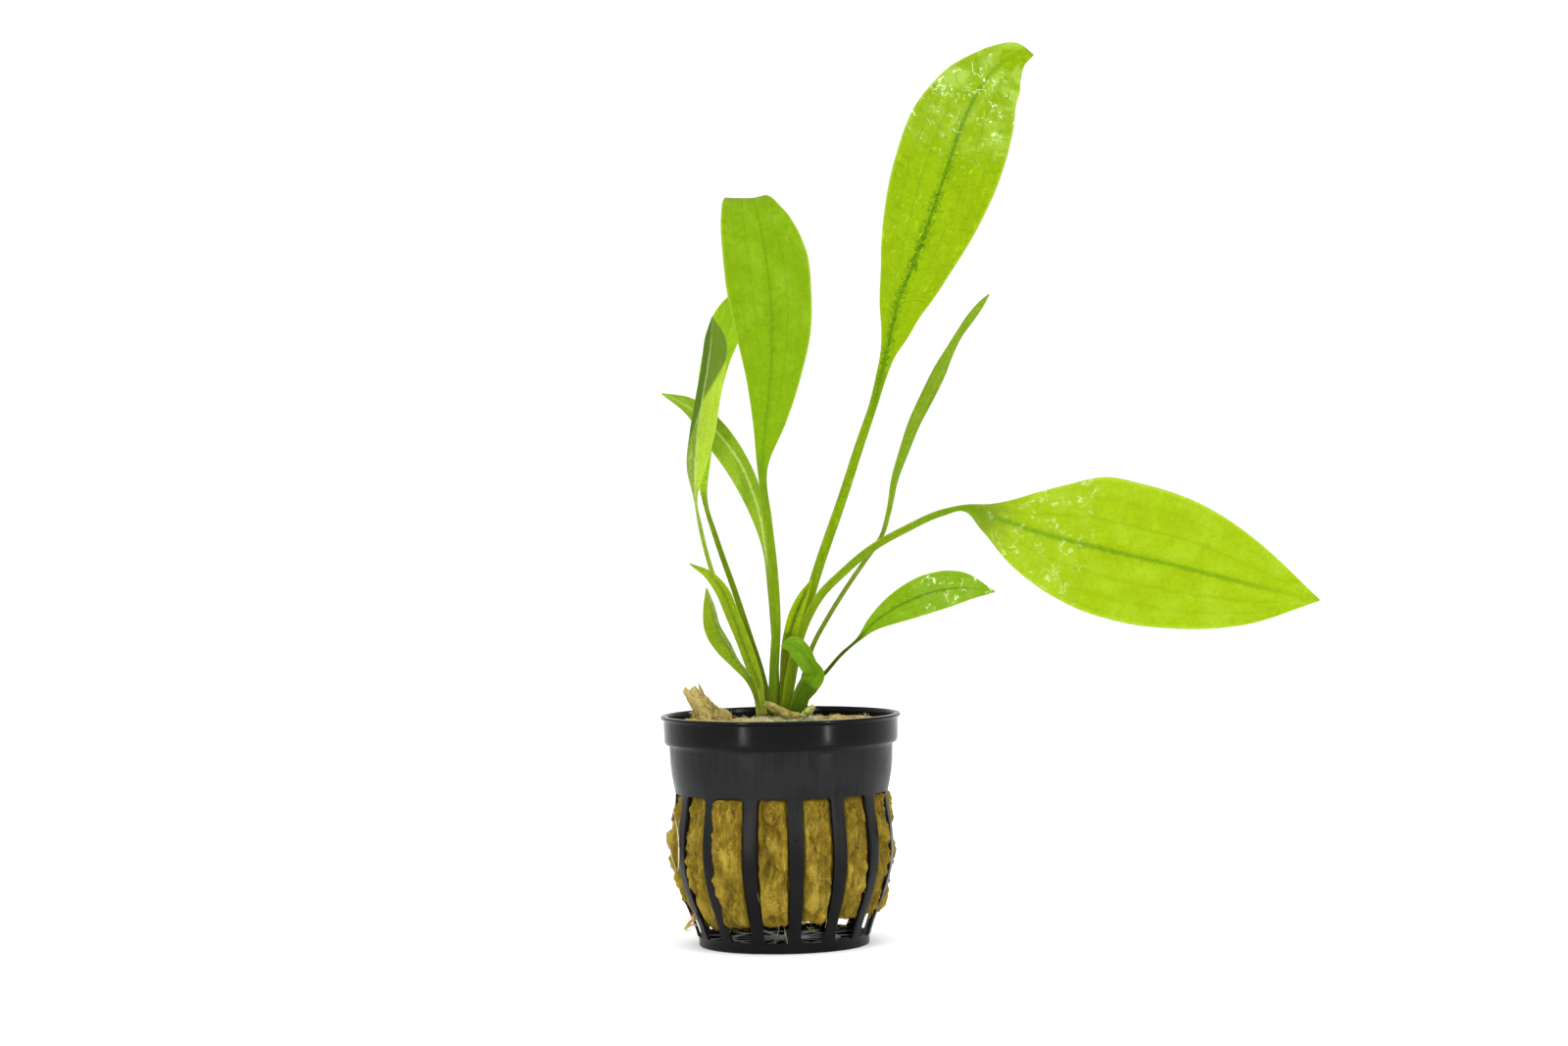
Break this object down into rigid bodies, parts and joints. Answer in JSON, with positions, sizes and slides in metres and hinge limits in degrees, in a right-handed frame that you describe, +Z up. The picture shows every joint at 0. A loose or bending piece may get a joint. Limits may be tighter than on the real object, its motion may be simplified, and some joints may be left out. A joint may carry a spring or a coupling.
{
  "type": "potted amazon sword plant",
  "caption": "Young broad-leaved aquarium plant: a rosette of stalked leaves rooted in a mineral wool plug inside a slotted black nursery pot.",
  "frame": {"origin": "on the surface the pot stands on, under the middle of the pot", "axes": "+Z up along the pot's axis, +X to the right of the plant as seen from its front, +Y away from its front"},
  "size_m": [0.1421, 0.0523, 0.1964],
  "materials": {
    "black_plastic": "satin",
    "mineral_wool": "matte",
    "crown_tissue": "satin",
    "dry_tissue": "matte",
    "leaf_bright": "satin",
    "leaf_mid": "satin"
  },
  "bodies": {
    "root": {"net_pot": "black_plastic", "wool_plug": "mineral_wool", "wool_flake": "mineral_wool", "crown": "crown_tissue", "leaf_tall_right": "leaf_bright", "leaf_upright": "leaf_bright", "leaf_left_folded": "leaf_mid", "leaf_left_back": "leaf_mid", "leaf_left_narrow": "leaf_mid", "leaf_left_channelled": "leaf_mid", "leaf_left_low": "leaf_mid", "leaf_young": "leaf_bright", "leaf_wide_right": "leaf_bright", "leaf_narrow_right": "leaf_mid", "leaf_small_right": "leaf_mid", "leaf_bent": "leaf_mid", "dead_sheath": "dry_tissue", "cut_stub": "crown_tissue"}
  },
  "joints": []
}
